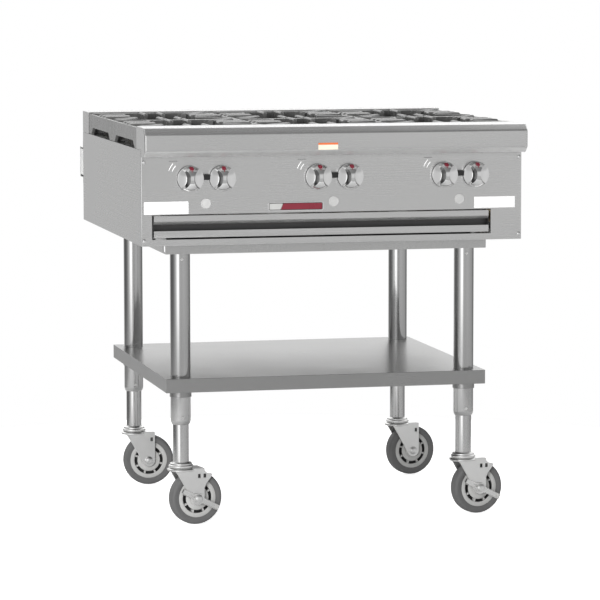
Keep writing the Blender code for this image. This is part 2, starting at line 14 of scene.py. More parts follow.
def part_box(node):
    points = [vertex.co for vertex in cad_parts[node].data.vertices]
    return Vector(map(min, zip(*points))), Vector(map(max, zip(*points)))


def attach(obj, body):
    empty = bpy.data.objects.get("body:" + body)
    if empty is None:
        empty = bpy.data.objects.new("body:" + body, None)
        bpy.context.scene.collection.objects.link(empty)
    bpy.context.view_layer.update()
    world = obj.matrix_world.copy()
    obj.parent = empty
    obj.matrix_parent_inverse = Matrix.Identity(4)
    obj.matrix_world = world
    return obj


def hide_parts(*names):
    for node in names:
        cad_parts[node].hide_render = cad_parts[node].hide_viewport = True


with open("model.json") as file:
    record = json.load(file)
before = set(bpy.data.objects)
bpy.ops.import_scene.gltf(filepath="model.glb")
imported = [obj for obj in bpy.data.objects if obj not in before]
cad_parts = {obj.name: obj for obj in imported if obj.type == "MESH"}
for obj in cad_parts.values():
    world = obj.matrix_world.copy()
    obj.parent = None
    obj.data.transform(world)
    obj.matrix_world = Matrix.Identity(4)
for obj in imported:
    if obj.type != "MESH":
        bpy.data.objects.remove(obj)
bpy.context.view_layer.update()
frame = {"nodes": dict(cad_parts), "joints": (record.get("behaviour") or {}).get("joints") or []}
JOINTS = {joint["name"]: joint for joint in frame["joints"]}

COLUMNS = ("left", "centre", "right")
ROWS = ("front", "rear")
CELLS = [(row, column) for row in ROWS for column in COLUMNS]
CORNERS = ("front_left", "front_right", "rear_left", "rear_right")
BODY = "range_body"

# Places that the frame gives.
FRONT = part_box("valve_panel")[0].y        # face of the valve panel
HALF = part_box("valve_panel")[1].x         # half its width
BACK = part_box("rear_panel")[1].y
RAIL_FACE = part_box("front_rail")[0].y     # foremost face of the landing rail
KNOB_Z = JOINTS["knob_front_left_turn"]["pos_m"][2]
AXLE_Z = JOINTS["wheel_front_left_spin"]["pos_m"][2]
SMOOTH_BELOW = math.radians(32)           # edges sharper than this stay crisp
KNOB_OFFSET = 0.038                       # each knob from its column's centre
TRAIL = 0.0355                            # caster's swivel axis to its axle


def middle(node):
    """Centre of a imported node's box."""
    low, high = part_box(node)
    return (low + high) / 2


COLUMN_X = {name: middle(f"grate_front_{name}").x for name in COLUMNS}
ROW_Y = {name: middle(f"grate_{name}_centre").y for name in ROWS}


# ---------------------------------------------------------------- shapes

def new_object(name, data):
    """An object in the scene."""
    obj = bpy.data.objects.new(name, data)
    bpy.context.scene.collection.objects.link(obj)
    return obj


def finish_mesh(name, builder, materials):
    """An object from a bmesh, shaded smooth between its sharp edges."""
    bmesh.ops.recalc_face_normals(builder, faces=builder.faces)
    mesh = bpy.data.meshes.new(name)
    builder.to_mesh(mesh)
    builder.free()
    for surface in materials:
        mesh.materials.append(surface)
    mesh.shade_smooth()
    mesh.set_sharp_from_angle(angle=SMOOTH_BELOW)
    return new_object(name, mesh)


def arc(centre, radius, start, end, steps):
    """Points on an arc, with angles in degrees."""
    points = []
    for step in range(steps + 1):
        angle = math.radians(start + (end - start) * step / steps)
        points.append((centre[0] + radius * math.cos(angle), centre[1] + radius * math.sin(angle)))
    return points


def rectangle(left, right, low, high):
    """Its four corners in order."""
    return [(left, low), (right, low), (right, high), (left, high)]


def add_prism(builder, outline, axis, low, high, slot=0):
    """A closed outline swept along an axis: points are (y, z) for X, (x, z) for Y and (x, y) for Z."""
    def corner(point, along):
        first, second = point
        return {"X": (along, first, second), "Y": (first, along, second), "Z": (first, second, along)}[axis]

    start = [builder.verts.new(corner(point, low)) for point in outline]
    end = [builder.verts.new(corner(point, high)) for point in outline]
    faces = [builder.faces.new(start), builder.faces.new(end)]
    for index in range(len(outline)):
        following = (index + 1) % len(outline)
        faces.append(builder.faces.new((start[index], start[following], end[following], end[index])))
    for face in faces:
        face.material_index = slot
    return faces


def add_box(builder, low, high, slot=0):
    """A box between opposite corners."""
    return add_prism(builder, rectangle(low[0], high[0], low[1], high[1]), "Z", low[2], high[2], slot)


def add_boxes_round(builder, count, low, high, axis, start=0.0):
    """A ring of equal boxes about an axis through the origin, the first one turned by a start angle."""
    for index in range(count):
        corners = dict.fromkeys(corner for face in add_box(builder, low, high) for corner in face.verts)
        turn = Matrix.Rotation(2 * math.pi * index / count + start, 3, axis)
        bmesh.ops.rotate(builder, verts=list(corners), cent=(0, 0, 0), matrix=turn)


def add_lathe(builder, profile, sides, axis="Z", centre=(0.0, 0.0, 0.0)):
    """A closed profile of (radius, height) points turned about an axis through centre."""
    turn = {"Z": Matrix.Identity(3), "Y": Matrix.Rotation(-math.pi / 2, 3, "X"),
            "X": Matrix.Rotation(math.pi / 2, 3, "Y")}[axis]
    rings = []
    for radius, height in profile:
        if radius == 0.0:
            rings.append([builder.verts.new(Vector(centre) + turn @ Vector((0.0, 0.0, height)))])
            continue
        ring = []
        for side in range(sides):
            angle = 2 * math.pi * side / sides
            point = Vector((radius * math.cos(angle), radius * math.sin(angle), height))
            ring.append(builder.verts.new(Vector(centre) + turn @ point))
        rings.append(ring)
    for index, ring in enumerate(rings):
        other = rings[(index + 1) % len(rings)]
        if len(ring) == 1 and len(other) == 1:
            continue
        for side in range(sides):
            following = (side + 1) % sides
            corners = [ring[side % len(ring)], ring[following % len(ring)],
                       other[following % len(other)], other[side % len(other)]]
            builder.faces.new(list(dict.fromkeys(corners)))


def rod(radius, low, high, soft=0.0, bore=0.0):
    """The profile of a plain rod or ring, with rounded edges where soft is given."""
    outline = rectangle(bore, radius, low, high)
    return rounded(outline, soft) if soft else outline


def bridge(builder, rings):
    """Walls between rings of as many points each, and a face on both ends."""
    for ring, other in zip(rings, rings[1:]):
        for corner in range(len(ring)):
            following = (corner + 1) % len(ring)
            builder.faces.new((ring[corner], ring[following], other[following], other[corner]))
    builder.faces.new(rings[0])
    builder.faces.new(rings[-1])


def bow(first, corner, last, steps):
    """Points on a smooth bend from first to last, drawn towards the corner."""
    shares = [step / steps for step in range(steps + 1)]
    return [first * (1 - share) ** 2 + corner * 2 * share * (1 - share) + last * share ** 2 for share in shares]


def rounded(profile, radius, steps=3):
    """The closed outline with each corner turned into a small arc, where its sides are long enough."""
    points = [Vector(point) for point in profile]
    result = []
    for index, corner in enumerate(points):
        before, after = points[index - 1] - corner, points[(index + 1) % len(points)] - corner
        reach = min(radius, 0.4 * before.length, 0.4 * after.length)
        if (index in (0, len(points) - 1) and corner.x == 0.0) or reach < 0.00015:
            result.append(tuple(corner))
            continue
        first = corner + before.normalized() * reach
        last = corner + after.normalized() * reach
        result += [tuple(point) for point in bow(first, corner, last, steps)]
    return result


def add_tube(builder, points, radius, sides):
    """A round tube with closed ends along a list of points."""
    path = [Vector(point) for point in points]
    rings = []
    across = Vector((0.13, 0.21, 1.0))
    for index, point in enumerate(path):
        run = (path[min(index + 1, len(path) - 1)] - path[max(index - 1, 0)]).normalized()
        side = run.cross(across).normalized()
        up = side.cross(run)
        across = up
        ring = []
        for corner in range(sides):
            angle = 2 * math.pi * corner / sides
            ring.append(builder.verts.new(point + radius * (side * math.cos(angle) + up * math.sin(angle))))
        rings.append(ring)
    bridge(builder, rings)


def bend_route(points, radius, steps=6):
    """The route with a smooth bend at each inner corner."""
    path = [Vector(point) for point in points]
    result = [path[0]]
    for before, corner, after in zip(path, path[1:], path[2:]):
        first = corner + (before - corner).normalized() * radius
        last = corner + (after - corner).normalized() * radius
        result += bow(first, corner, last, steps)
    return [*result, path[-1]]


def shape(add, *arguments):
    """A bmesh with one shape in it."""
    builder = bmesh.new()
    add(builder, *arguments)
    return builder


def bevel(obj, width, segments=2, angle=35.0):
    """Rounds the edges that are sharper than an angle in degrees."""
    modifier = obj.modifiers.new("edges", "BEVEL")
    modifier.width = width
    modifier.segments = segments
    modifier.limit_method = "ANGLE"
    modifier.angle_limit = math.radians(angle)
    modifier.harden_normals = True
    return obj


def cut(obj, builder):
    """Takes the shapes in a bmesh away from the object."""
    tool = finish_mesh("tool", builder, [obj.data.materials[0]])
    modifier = obj.modifiers.new("cut", "BOOLEAN")
    modifier.operation = "DIFFERENCE"
    modifier.solver = "EXACT"
    modifier.object = tool
    evaluated = obj.evaluated_get(bpy.context.evaluated_depsgraph_get())
    mesh = bpy.data.meshes.new_from_object(evaluated)
    obj.modifiers.clear()
    obj.data = mesh
    bpy.data.objects.remove(tool)
    mesh.shade_smooth()
    mesh.set_sharp_from_angle(angle=SMOOTH_BELOW)
    return obj


def reopen(obj):
    """A bmesh of the object's shape, in place of the object."""
    builder = bmesh.new()
    builder.from_mesh(obj.data)
    bpy.data.objects.remove(obj)
    return builder


def repaint(obj, surfaces, choose):
    """Adds finishes, and gives each face the one that choose picks from its centre and normal."""
    for surface in surfaces:
        obj.data.materials.append(surface)
    for face in obj.data.polygons:
        face.material_index = choose(face.center, face.normal)
    return obj


def place(obj, body, slot, *nodes):
    """Rides on a body and stands for the nodes that are named. The slot is not used."""
    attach(obj, body)
    if nodes:
        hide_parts(*nodes)
    return obj


def copy_at(pattern, name, matrix):
    """A second object with the pattern's mesh and its rounded edges."""
    copy = new_object(name, pattern.data)
    for modifier in pattern.modifiers:
        if modifier.type == "BEVEL":
            bevel(copy, modifier.width, modifier.segments, math.degrees(modifier.angle_limit))
    copy.matrix_world = matrix
    return copy


# ---------------------------------------------------------------- finishes

def start_material(name, colour, metallic, roughness):
    """A plain material, with its node tree and shader."""
    made = bpy.data.materials.new(name)
    made.use_nodes = True
    tree = made.node_tree
    shader = tree.nodes["Principled BSDF"]
    shader.inputs["Base Color"].default_value = (*colour, 1.0)
    shader.inputs["Metallic"].default_value = metallic
    shader.inputs["Roughness"].default_value = roughness
    return made, tree, shader


def add_noise(tree, scale, detail=3.0, stretch=(1.0, 1.0, 1.0)):
    """Noise over the piece's own coordinates, drawn out along an axis by a small stretch factor there."""
    where = tree.nodes.new("ShaderNodeTexCoord")
    mapping = tree.nodes.new("ShaderNodeMapping")
    mapping.inputs["Scale"].default_value = stretch
    noise = tree.nodes.new("ShaderNodeTexNoise")
    noise.inputs["Scale"].default_value = scale
    noise.inputs["Detail"].default_value = detail
    tree.links.new(where.outputs["Object"], mapping.inputs["Vector"])
    tree.links.new(mapping.outputs["Vector"], noise.inputs["Vector"])
    return noise.outputs["Fac"]


def remap(tree, value, low, high, start=0.3, end=0.7):
    """Turns start to end into low to high, and holds those beyond."""
    node = tree.nodes.new("ShaderNodeMapRange")
    node.inputs["From Min"].default_value = start
    node.inputs["From Max"].default_value = end
    node.inputs["To Min"].default_value = low
    node.inputs["To Max"].default_value = high
    tree.links.new(value, node.inputs["Value"])
    return node.outputs["Result"]


def combine(tree, operation, first, second):
    """A sum on two sockets, or on a socket and a number."""
    node = tree.nodes.new("ShaderNodeMath")
    node.operation = operation
    for socket, value in zip(node.inputs, (first, second)):
        if isinstance(value, float):
            socket.default_value = value
        else:
            tree.links.new(value, socket)
    return node.outputs["Value"]


def tint(tree, shader, colour, amount):
    """Multiplies the base colour by a grey value near one."""
    node = tree.nodes.new("ShaderNodeMix")
    node.data_type = "RGBA"
    node.blend_type = "MULTIPLY"
    node.inputs["Factor"].default_value = 1.0
    node.inputs["A"].default_value = (*colour, 1.0)
    tree.links.new(amount, node.inputs["B"])
    tree.links.new(node.outputs["Result"], shader.inputs["Base Color"])


def bump(tree, shader, height, strength, distance):
    """Fine relief in the shading only."""
    node = tree.nodes.new("ShaderNodeBump")
    node.inputs["Strength"].default_value = strength
    node.inputs["Distance"].default_value = distance
    tree.links.new(height, node.inputs["Height"])
    tree.links.new(node.outputs["Normal"], shader.inputs["Normal"])


def brushed_steel(name, colour, roughness, stretch, across=None):
    """Sheet with a brushed grain: fine streaks in its roughness and colour, and faint broad smudges."""
    made, tree, shader = start_material(name, colour, 1.0, roughness)
    streak = add_noise(tree, 1.0, 4.0, stretch)
    smudge = add_noise(tree, 5.0, 2.0)
    rough = combine(tree, "ADD", remap(tree, streak, -0.02, 0.02), remap(tree, smudge, -0.02, 0.02))
    tree.links.new(combine(tree, "ADD", rough, roughness), shader.inputs["Roughness"])
    shade = combine(tree, "MULTIPLY", remap(tree, streak, 0.985, 1.015), remap(tree, smudge, 0.985, 1.015))
    tint(tree, shader, colour, shade)
    if across is None:
        return made
    bump(tree, shader, streak, 0.012, 0.0001)
    shader.inputs["Anisotropic"].default_value = 0.8
    tangent = tree.nodes.new("ShaderNodeCombineXYZ")
    for socket, value in zip(tangent.inputs, across):
        socket.default_value = value
    tree.links.new(tangent.outputs["Vector"], shader.inputs["Tangent"])
    return made


def plated(name, colour, roughness, speckle=0.04, scale=60.0):
    """Plated or polished metal with a slight cloudiness."""
    made, tree, shader = start_material(name, colour, 1.0, roughness)
    cloud = add_noise(tree, scale, 3.0)
    tree.links.new(remap(tree, cloud, roughness - speckle / 2, roughness + speckle), shader.inputs["Roughness"])
    tint(tree, shader, colour, remap(tree, cloud, 0.985, 1.015))
    return made


def cast(name, colour, roughness, top_sheen=1.0):
    """Sand-cast iron: grainy skin, mottled shade, and a painted sheen that makes its upper faces paler and more
    metallic.
    """
    made, tree, shader = start_material(name, colour, 0.0, roughness)
    skin = add_noise(tree, 420.0, 4.0)
    mottle = add_noise(tree, 30.0, 3.0)
    shade = combine(tree, "MULTIPLY", remap(tree, skin, 0.85, 1.15), remap(tree, mottle, 0.8, 1.2))
    facing = tree.nodes.new("ShaderNodeSeparateXYZ")
    tree.links.new(tree.nodes.new("ShaderNodeTexCoord").outputs["Normal"], facing.inputs["Vector"])
    # Faces turned upward are painted paler and more metallic: a painted sheen for the light the grate tops catch.
    painted_sheen = remap(tree, facing.outputs["Z"], 1.0, top_sheen, 0.80, 0.98)
    tint(tree, shader, colour, combine(tree, "MULTIPLY", shade, painted_sheen))
    if top_sheen > 1.0:
        tree.links.new(remap(tree, facing.outputs["Z"], 0.0, 0.4, 0.80, 0.98), shader.inputs["Metallic"])
    tree.links.new(remap(tree, mottle, roughness - 0.06, roughness + 0.08), shader.inputs["Roughness"])
    bump(tree, shader, skin, 0.05, 0.0003)
    shader.inputs["Specular IOR Level"].default_value = 0.9
    return made


def moulded(name, colour, roughness, grain=600.0, depth=0.0001):
    """Plastic, rubber, paint or paper: a fine skin and slight wear."""
    made, tree, shader = start_material(name, colour, 0.0, roughness)
    skin = add_noise(tree, grain, 2.0)
    wear = add_noise(tree, 25.0, 3.0)
    tint(tree, shader, colour, remap(tree, wear, 0.93, 1.07))
    tree.links.new(remap(tree, wear, roughness - 0.05, roughness + 0.05), shader.inputs["Roughness"])
    bump(tree, shader, skin, 0.25, depth)
    return made


ALONG_X = (5.0, 900.0, 900.0), (0.0, 1.0, 1.0)      # stretch of the grain, and the direction across it
STEEL = brushed_steel("brushed_along_x", (0.76, 0.76, 0.757), 0.26, *ALONG_X)
SIDE_STEEL = brushed_steel("brushed_along_y", (0.60, 0.60, 0.597), 0.28, (900.0, 5.0, 900.0), (1.0, 0.0, 1.0))
TUBE_STEEL = brushed_steel("polished_tube", (0.56, 0.56, 0.558), 0.14, (300.0, 300.0, 2.0))
# A rougher, paler copy of the brushed steel for the rail's lower chamfer; its paleness is a painted highlight.
LIP_HIGHLIGHT_STEEL = brushed_steel("brushed_lip_highlight", (0.84, 0.84, 0.836), 0.44, *ALONG_X)
SHELF_STEEL = brushed_steel("dull_along_x", (0.41, 0.41, 0.408), 0.30, (5.0, 700.0, 700.0), (0.0, 1.0, 1.0))
CHROME = plated("bright_chrome", (0.87, 0.87, 0.87), 0.045, 0.02)
# Darkened chrome for the walls beside the knob's grip: painted shade.
RIDGE_SHADE_CHROME = plated("ridge_painted_shade", (0.20, 0.20, 0.20), 0.16, 0.02)
BRIGHT_ZINC = plated("bright_zinc", (0.84, 0.84, 0.83), 0.24, 0.04, 40.0)
ZINC = plated("zinc_plate", (0.88, 0.88, 0.872), 0.38, 0.04, 40.0)
BRASS = plated("machined_brass", (0.60, 0.47, 0.24), 0.30, 0.08)
# The last number is the painted sheen on the grates' upper faces.
IRON = cast("cast_iron", (0.14, 0.14, 0.138), 0.22, 2.8)
BURNER_IRON = cast("burner_iron", (0.24, 0.24, 0.237), 0.36)
CORE = moulded("core_plastic", (0.47, 0.47, 0.46), 0.42)
TREAD = moulded("tyre_rubber", (0.125, 0.125, 0.125), 0.55, 900.0, 0.0002)
# Dark steel put into the tray's pull recess as painted shade.
SHADE_STEEL = plated("shaded_steel", (0.13, 0.13, 0.13), 0.42, 0.04)
# Near-black used as painted shade in the wheel recesses and behind the nameplate's fields.
PAINTED_RECESS_SHADE = moulded("recess_shade", (0.035, 0.035, 0.035), 0.60)
BLACK = moulded("black_trim", (0.012, 0.012, 0.012), 0.35)
LABEL = moulded("blank_label", (0.95, 0.95, 0.945), 0.45, 300.0, 0.00002)
CREAM = moulded("cream_label", (0.85, 0.76, 0.62), 0.45, 300.0, 0.00002)
ORANGE = moulded("orange_band", (0.72, 0.16, 0.05), 0.45, 300.0, 0.00002)
RED = moulded("red_enamel", (0.20, 0.020, 0.035), 0.30, 300.0, 0.00003)
GREY_INK = moulded("grey_ink", (0.16, 0.16, 0.16), 0.50, 300.0, 0.00002)
PLUG = moulded("light_plug", (0.50, 0.50, 0.495), 0.30, 300.0, 0.00002)


# ---------------------------------------------------------------- sheet metal

def folded_sheet(node, surface, edge, body=BODY, outer=0.0, depth=0.0001, trims=()):
    """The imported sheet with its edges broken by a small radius, as folded and deburred metal has.

    Outer is a larger radius for the ends and lower edge of its front, down to a depth. Trims are boxes to cut off.
    """
    builder = bmesh.new()
    builder.from_mesh(frame["nodes"][node].data)
    bmesh.ops.remove_doubles(builder, verts=builder.verts, dist=0.00003)
    bmesh.ops.dissolve_limit(builder, angle_limit=math.radians(0.5), verts=builder.verts, edges=builder.edges)
    if outer:
        low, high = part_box(node)
        front = [line for line in builder.edges if all(point.co.y < low.y + depth for point in line.verts)]
        rim = [line for line in front if all(abs(point.co.x) > high.x - 0.0001 for point in line.verts)
               or all(point.co.z < low.z + 0.0001 for point in line.verts)]
        bmesh.ops.bevel(builder, geom=rim, offset=outer, segments=4, profile=0.5, affect="EDGES")
    sheet = finish_mesh(f"{node}_sheet", builder, [surface])
    for low, high in trims:
        cut(sheet, shape(add_box, low, high))
    bevel(sheet, edge)
    return place(sheet, body, "brushed_stainless", node)


def sheet_metal():
    """Every sheet, with its finish and the radius of its edges."""
    corner = 0.0013
    panel = folded_sheet("valve_panel", STEEL, 0.0003, outer=corner)
    # The rounded side edges of the panel take bright chrome: a painted highlight along its corners.
    repaint(panel, [CHROME], lambda centre, normal: int(HALF - abs(centre.x) < corner and -normal.y < 0.99))
    folded_sheet("stand_frame", SIDE_STEEL, 0.0010)
    rail_root = FRONT - 0.0330
    rail = folded_sheet("front_rail", STEEL, 0.0012, outer=0.0038, depth=rail_root - RAIL_FACE)
    # Faces of the rail turned down and forward take the paler copy: a painted highlight on its lower chamfer.
    repaint(rail, [LIP_HIGHLIGHT_STEEL], lambda centre, normal: int(normal.z < -0.3 and normal.y < -0.3))
    for node, surface, edge in (
            ("stub_back", STEEL, 0.0012), ("rear_spacer_left", STEEL, 0.0006), ("rear_spacer_right", STEEL, 0.0006),
            ("rear_panel", STEEL, 0.0004), ("bottom_pan", STEEL, 0.0003), ("burner_grid", STEEL, 0.0005),
            ("left_side_panel", SIDE_STEEL, 0.0007), ("right_side_panel", SIDE_STEEL, 0.0007),
            ("undershelf", SHELF_STEEL, 0.0012)):
        folded_sheet(node, surface, edge)
    crumb_tray()


def crumb_tray():
    """The tray with a narrow gap round its pull, painted shade in the recess of the pull and a painted highlight on
    the hood over it.
    """
    low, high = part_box("crumb_tray")
    foot, reach, clear = low.z, FRONT + 0.0060, 0.01
    side_gap, foot_gap = 0.0018, 0.0010
    before, under = FRONT - clear, foot - clear
    gaps = [((low.x - clear, before, under), (low.x + side_gap, reach, high.z + clear)),
            ((high.x - side_gap, before, under), (high.x + clear, reach, high.z + clear)),
            ((low.x - clear, before, under), (high.x + clear, reach, foot + foot_gap))]

    # Faces under the hood, turned down and forward, take paler zinc as a painted highlight; the recess faces take dark
    # steel as painted shade.
    def finish(centre, normal):
        if normal.z < -0.4 and normal.y < -0.4:
            return 2
        return int(foot + 0.0166 < centre.z < foot + 0.0310 and FRONT + 0.0010 < centre.y < FRONT + 0.0290)

    tray = folded_sheet("crumb_tray", STEEL, 0.0004, "crumb_tray", trims=gaps)
    repaint(tray, [SHADE_STEEL, ZINC], finish)


def spacer_pads():
    """A light block in each strap behind the cabinet."""
    builder = bmesh.new()
    for side in ("left", "right"):
        low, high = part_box(f"rear_spacer_{side}")
        add_box(builder, (low.x + 0.0006, low.y + 0.0030, low.z + 0.0215),
                (high.x - 0.0006, high.y - 0.0025, high.z - 0.0215))
    place(bevel(finish_mesh("rear_spacer_pads", builder, [LABEL]), 0.0015), BODY, "white_label")


# ---------------------------------------------------------------- front trim

def knob_pattern():
    """A domed chrome knob with a scoop on each side of a waisted grip, and a red mark on its upper end."""
    dome = [(0.0, -0.0052), (0.0294, -0.0052), (0.0304, -0.0060), (0.0308, -0.0076), (0.0308, -0.0118),
            (0.0306, -0.0138), (0.0299, -0.0163), (0.0285, -0.0194), (0.0264, -0.0228), (0.0238, -0.0260),
            (0.0206, -0.0289), (0.0166, -0.0314), (0.0122, -0.0335), (0.0078, -0.0347), (0.0038, -0.0353),
            (0.0, -0.0355)]
    # A black ring between the bezel and the dome: a painted shadow for the dark gap round the knob.
    shadow_ring = [(0.0, -0.0030), (0.0306, -0.0030), (0.0309, -0.0036), (0.0309, -0.0050), (0.0, -0.0050)]
    builder = bmesh.new()
    add_lathe(builder, dome, 120, "Y")
    add_lathe(builder, shadow_ring, 96, "Y")
    knob = finish_mesh("pattern", builder, [CHROME, RED, BLACK, RIDGE_SHADE_CHROME])
    for side in (-1, 1):
        scoop = [(0.0, -0.0140), (0.0272, -0.0141), (0.0281, -0.0146), (0.0288, -0.0160), (0.0304, -0.0215),
                 (0.0322, -0.0280), (0.0338, -0.0350), (0.0350, -0.0420), (0.0, -0.0420)]
        cut(knob, shape(add_lathe, scoop, 128, "Y", (side * 0.0375, 0.0, 0.0)))

    def finish(centre, normal):
        if math.hypot(centre.x, centre.z - 0.0236) < 0.0052 and centre.y < -0.0160:
            return 1
        # The black ring behind the dome: a painted shadow.
        if centre.y > -0.0051:
            return 2
        # The walls beside the grip take the darkened chrome: painted shade.
        return 3 if abs(normal.x) > 0.72 and abs(centre.x) < 0.0135 and -0.0335 < centre.y < -0.0146 else 0

    return bevel(repaint(knob, [], finish), 0.0005, 2, 40.0)


def knobs():
    """Two knobs per column, each on its own hinge."""
    pattern = knob_pattern()
    for row, column in CELLS:
        name = f"knob_{row}_{column}"
        centre = Vector(JOINTS[f"{name}_turn"]["pos_m"])
        place(copy_at(pattern, f"{name}_chrome", Matrix.Translation(centre)), name, "chrome", name)
    bpy.data.objects.remove(pattern)


def knob_surrounds():
    """Bezels behind the knobs, the black cover between each pair, and the plug under it."""
    bezel = rod(0.0318, -0.0003, -0.0028, 0.0004, 0.0303)
    seat = rod(0.0301, -0.0003, -0.0022, 0.0, 0.0070)
    plug = [(0.0, -0.0003), (0.0118, -0.0003), (0.0120, -0.0009), (0.0116, -0.0018), (0.0104, -0.0022),
            (0.0094, -0.0017), (0.0088, -0.0016), (0.0050, -0.0024), (0.0, -0.0027)]
    bezels, covers, plugs = bmesh.new(), bmesh.new(), bmesh.new()
    for x in COLUMN_X.values():
        for side in (-1, 1):
            add_lathe(bezels, bezel, 64, "Y", (x + side * KNOB_OFFSET, FRONT, KNOB_Z))
            add_lathe(covers, seat, 64, "Y", (x + side * KNOB_OFFSET, FRONT, KNOB_Z))
        add_box(covers, (x - 0.0070, FRONT - 0.0125, KNOB_Z - 0.0030), (x + 0.0070, FRONT - 0.0031, KNOB_Z + 0.0098))
        add_lathe(plugs, plug, 48, "Y", (x, FRONT, KNOB_Z - 0.0585))
    place(finish_mesh("knob_bezels", bezels, [CHROME]), BODY, "chrome")
    place(bevel(finish_mesh("pilot_valve_covers", covers, [BLACK]), 0.0012, 3), BODY, "black_trim")
    place(finish_mesh("panel_plugs", plugs, [PLUG]), BODY, "chrome")


def panel_marks():
    """Printed marks to the left of each pair of knobs: a short scale of dashes and an arc, with no lettering."""
    builder = bmesh.new()
    for x in COLUMN_X.values():
        centre = (x - KNOB_OFFSET, KNOB_Z)
        for radius in (0.0440, 0.0520):
            outer = arc(centre, radius + 0.0018, 138, 158, 5)
            inner = arc(centre, radius, 158, 138, 5)
            add_prism(builder, outer + inner, "Y", FRONT - 0.0003, FRONT - 0.0001, 1)
        for offset in (0.0, 0.0050, 0.0100, 0.0150):
            left = x - 0.0860 + offset
            add_box(builder, (left, FRONT - 0.0003, KNOB_Z + 0.0400), (left + 0.0034, FRONT - 0.0001, KNOB_Z + 0.0418))
    place(finish_mesh("knob_position_marks", builder, [GREY_INK, LABEL]), BODY, "black_trim")


def labels():
    """Blank labels: two white ones on the valve panel, and one with an orange band on the rail."""
    builder = bmesh.new()
    for left, right, low, high in ((-0.451, -0.3465, 0.746, 0.775), (0.341, 0.441, 0.7475, 0.774)):
        add_box(builder, (left, FRONT - 0.0005, low), (right, FRONT - 0.0002, high))
    place(finish_mesh("panel_labels", builder, [LABEL]), BODY, "white_label")
    builder = bmesh.new()
    for slot, low, high in ((0, 0.8935, 0.9050), (1, 0.9050, 0.9095)):
        add_box(builder, (-0.049, RAIL_FACE - 0.0004, low), (-0.002, RAIL_FACE - 0.0001, high), slot)
    place(finish_mesh("rail_label", builder, [CREAM, ORANGE]), BODY, "white_label")


def blank_nameplate():
    """A chrome frame around a grey field and a red field, with nothing written on them."""
    low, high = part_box("nameplate")
    outer = rounded(rectangle(low.x, high.x, low.z, high.z), 0.005, 5)
    plate = finish_mesh("nameplate_frame", shape(add_prism, outer, "Y", low.y, high.y), [CHROME])
    rim, split = 0.0022, low.x + 0.036
    field = rectangle(low.x + rim, high.x - rim, low.z + rim, high.z - rim)
    cut(plate, shape(add_prism, rounded(field, 0.0035, 5), "Y", low.y - 0.002, low.y + 0.0012))
    place(bevel(plate, 0.0004), BODY, "chrome", "nameplate")
    builder = bmesh.new()
    inset = rim + 0.0013
    depth = (low.y + 0.0005, low.y + 0.0009)
    slant = 0.006
    grey = [(low.x + inset, low.z + inset), (split - slant, low.z + inset), (split, high.z - inset),
            (low.x + inset, high.z - inset)]
    red = [(split - slant + 0.001, low.z + inset), (high.x - inset, low.z + inset),
           (high.x - inset, high.z - inset), (split + 0.001, high.z - inset)]
    add_prism(builder, rounded(grey, 0.002), "Y", *depth, 0)
    add_prism(builder, rounded(red, 0.002), "Y", *depth, 1)
    # A near-black sheet behind the fields shows as a dark line round them: painted shade.
    add_prism(builder, rounded(field, 0.0034, 5), "Y", low.y + 0.0009, low.y + 0.0011, 2)
    place(finish_mesh("nameplate_fields", builder, [CORE, RED, PAINTED_RECESS_SHADE]), BODY, "red_enamel")


def add_screw(builder, centre, outward, radius=0.0042):
    """A pan-head screw along Y: outward is 1 or -1."""
    head = [(0.0, 0.0002), (radius, 0.0002), (radius, 0.0008), (0.94 * radius, 0.0016), (0.78 * radius, 0.0025),
            (0.56 * radius, 0.0032), (0.30 * radius, 0.0035), (0.24 * radius, 0.0024), (0.0, 0.0022)]
    add_lathe(builder, [(reach, outward * height) for reach, height in head], 20, "Y", centre)


def screws():
    """The screws of the valve panel, the rear panel and the wall spacers."""
    builder = bmesh.new()
    for side in (-1, 1):
        for z in (0.685, 0.867):
            add_screw(builder, (side * (HALF - 0.0065), FRONT, z), -1, 0.0047)
        for z in (0.700, 0.785, 0.870):
            add_screw(builder, (side * (HALF - 0.010), BACK, z), 1)
        for z in (0.7695, 0.8655):
            add_screw(builder, (side * (HALF - 0.018), BACK + 0.0023, z), 1)
    for x in (-0.30, -0.10, 0.10, 0.30):
        for z in (0.682, 0.885):
            add_screw(builder, (x, BACK, z), 1)
    place(finish_mesh("panel_screws", builder, [CHROME]), BODY, "zinc_plate")


# ---------------------------------------------------------------- cooking top

def add_bar(builder, width, start, end, along, across, heights):
    """One bar of a grate, from the rim at start towards the middle at end, with rounded upper edges."""
    root_low, tip_low, top = heights
    run = Vector(along)
    side = Vector((-run.y, run.x))
    soft = 0.003
    section = [(-width / 2, None), (width / 2, None), (width / 2, top - soft), (width / 2 - soft, top),
               (soft - width / 2, top), (-width / 2, top - soft)]
    rings = []
    stations = [(start, root_low, 0.006), (start - 0.007, root_low + 0.0012, 0.0), (end + 0.004, tip_low, 0.0),
                (end, tip_low + 0.002, 0.003)]
    for distance, low, drop in stations:
        ring = []
        for offset, height in section:
            level = low if height is None else height - drop
            ring.append(builder.verts.new((*(run * distance + side * (across + offset)), level)))
        rings.append(ring)
    bridge(builder, rings)


